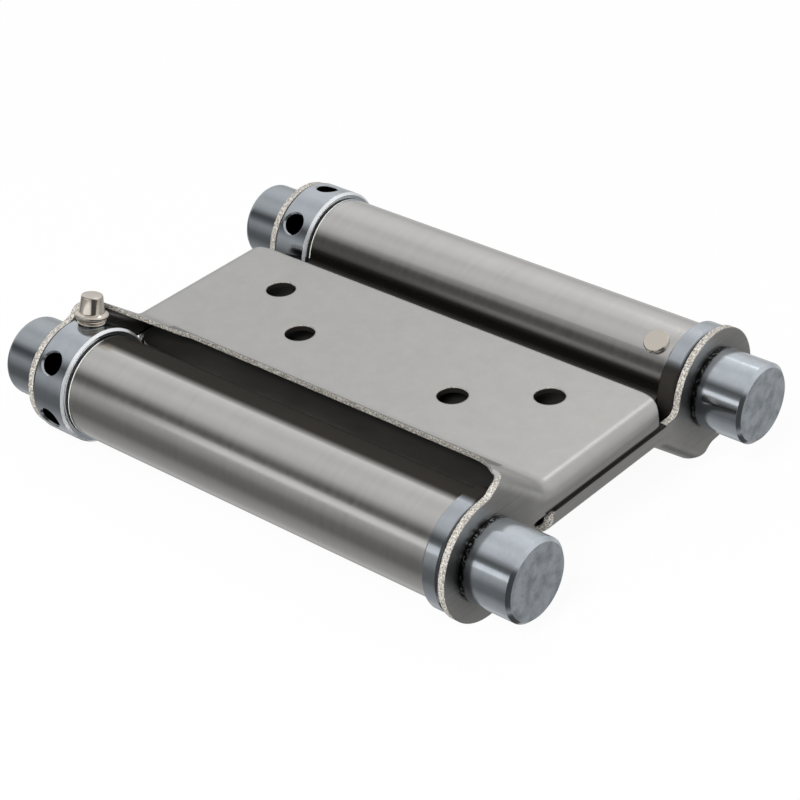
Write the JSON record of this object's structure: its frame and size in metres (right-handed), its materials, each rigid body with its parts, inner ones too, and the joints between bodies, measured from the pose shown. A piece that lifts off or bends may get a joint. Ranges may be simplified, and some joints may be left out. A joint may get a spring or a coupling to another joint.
{
  "type": "double action cafe hinge",
  "caption": "Double action spring hinge for swinging cafe doors: a rolled centre plate with a sprung barrel on each side, and a pressed screw-on leaf for each.",
  "frame": {"origin": "midway between the two barrel axes, halfway along the leaves, at the middle of the centre plate's sheet", "axes": "+X along the barrels from the tension collars to the fixed rings, +Y from the top leaf's barrel to the bottom leaf's barrel, +Z out of the top leaf's face"},
  "size_m": [0.0914, 0.0662, 0.0254],
  "materials": {
    "brushed_steel": "fine brushed stainless sheet",
    "polished_steel": "polished stainless sheet, brushed round the barrels",
    "zinc_steel": "bluish bright zinc plate",
    "nickel_steel": "bright nickel plate",
    "plain_steel": "plain drawn steel",
    "spring_steel": "dark oiled spring wire"
  },
  "bodies": {
    "centre": {"centre_plate": "polished_steel", "near_end_plug": "zinc_steel", "near_anchor_rivet": "nickel_steel", "near_torsion_spring": "spring_steel", "far_end_plug": "zinc_steel", "far_anchor_rivet": "nickel_steel", "far_torsion_spring": "spring_steel"},
    "top_leaf": {"near_leaf": "brushed_steel", "near_spindle": "plain_steel", "near_collar_end_cap": "zinc_steel", "near_ring_end_cap": "zinc_steel", "near_thrust_washer": "plain_steel"},
    "near_collar": {"near_tension_collar": "zinc_steel"},
    "near_pin": {"near_tension_pin": "nickel_steel"},
    "bottom_leaf": {"far_leaf": "brushed_steel", "far_spindle": "plain_steel", "far_collar_end_cap": "zinc_steel", "far_ring_end_cap": "zinc_steel", "far_thrust_washer": "plain_steel"},
    "far_collar": {"far_tension_collar": "zinc_steel"},
    "far_pin": {"far_tension_pin": "nickel_steel"}
  },
  "joints": [
    {"name": "top_leaf_hinge", "type": "hinge", "parent": "centre", "child": "top_leaf", "pos_m": [0, -0.0246, 0], "axis": [1, 0, 0], "range_deg": [0, 180], "stiffness_Nm_per_rad": 0.35, "springref_deg": -34.38, "deforming": ["near_torsion_spring"]},
    {"name": "near_collar_turn", "type": "hinge", "parent": "top_leaf", "child": "near_collar", "pos_m": [0, -0.0246, 0], "axis": [1, 0, 0], "range_deg": [0, 60]},
    {"name": "near_pin_pull", "type": "slide", "parent": "near_collar", "child": "near_pin", "axis": [0, 0.2079, 0.9781], "range_m": [0, 0.005]},
    {"name": "bottom_leaf_hinge", "type": "hinge", "parent": "centre", "child": "bottom_leaf", "pos_m": [0, 0.0246, 0], "axis": [1, 0, 0], "range_deg": [0, 180], "stiffness_Nm_per_rad": 0.35, "springref_deg": -34.38, "deforming": ["far_torsion_spring"]},
    {"name": "far_collar_turn", "type": "hinge", "parent": "bottom_leaf", "child": "far_collar", "pos_m": [0, 0.0246, 0], "axis": [1, 0, 0], "range_deg": [0, 60]},
    {"name": "far_pin_pull", "type": "slide", "parent": "far_collar", "child": "far_pin", "axis": [0, -0.2079, -0.9781], "range_m": [0, 0.005]}
  ]
}
